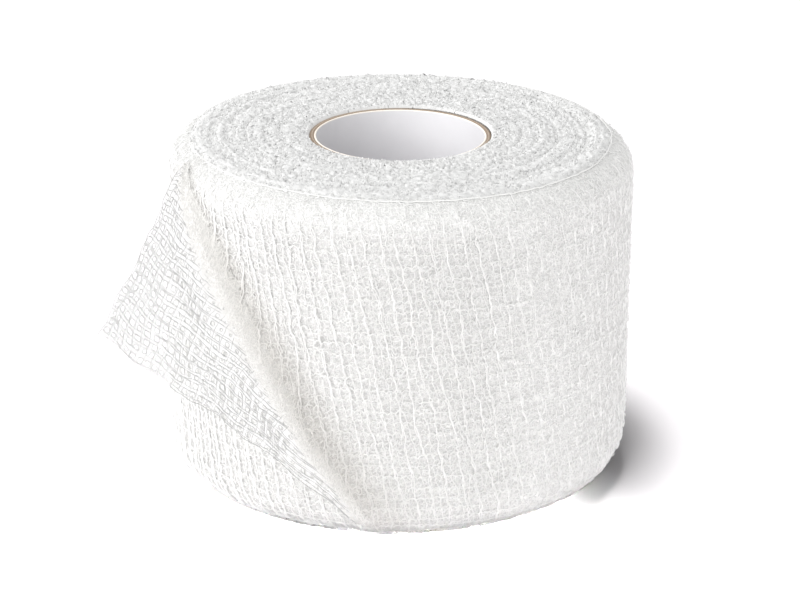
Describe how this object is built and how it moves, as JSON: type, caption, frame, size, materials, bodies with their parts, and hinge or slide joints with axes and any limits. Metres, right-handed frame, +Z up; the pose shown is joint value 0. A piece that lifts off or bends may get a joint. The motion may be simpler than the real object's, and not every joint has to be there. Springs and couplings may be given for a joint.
{
  "type": "gauze bandage roll",
  "caption": "Upright roll of open-weave elastic gauze bandage wound on a thin cardboard core, the upper corner of its loose end peeled back.",
  "frame": {"origin": "on the floor under the middle of the part's box; the roll's own axis stands 5.45 mm to the right of it and 1 mm behind it, because the loose end reaches out to the left and to the front", "axes": "+Z up along the roll's axis, +X to the right seen from the front, -Y to the front, where the loose end's crease runs down the side"},
  "size_m": [0.0907, 0.0822, 0.06],
  "materials": {
    "gauze": "matt white open-weave elastic gauze",
    "core_cardboard": "raw brown cardboard edge",
    "core_paper": "smooth white paper lining"
  },
  "bodies": {
    "root": {"wound_gauze": "gauze", "loose_end": "gauze", "core_tube": "core_cardboard", "core_liner": "core_paper"}
  },
  "joints": []
}
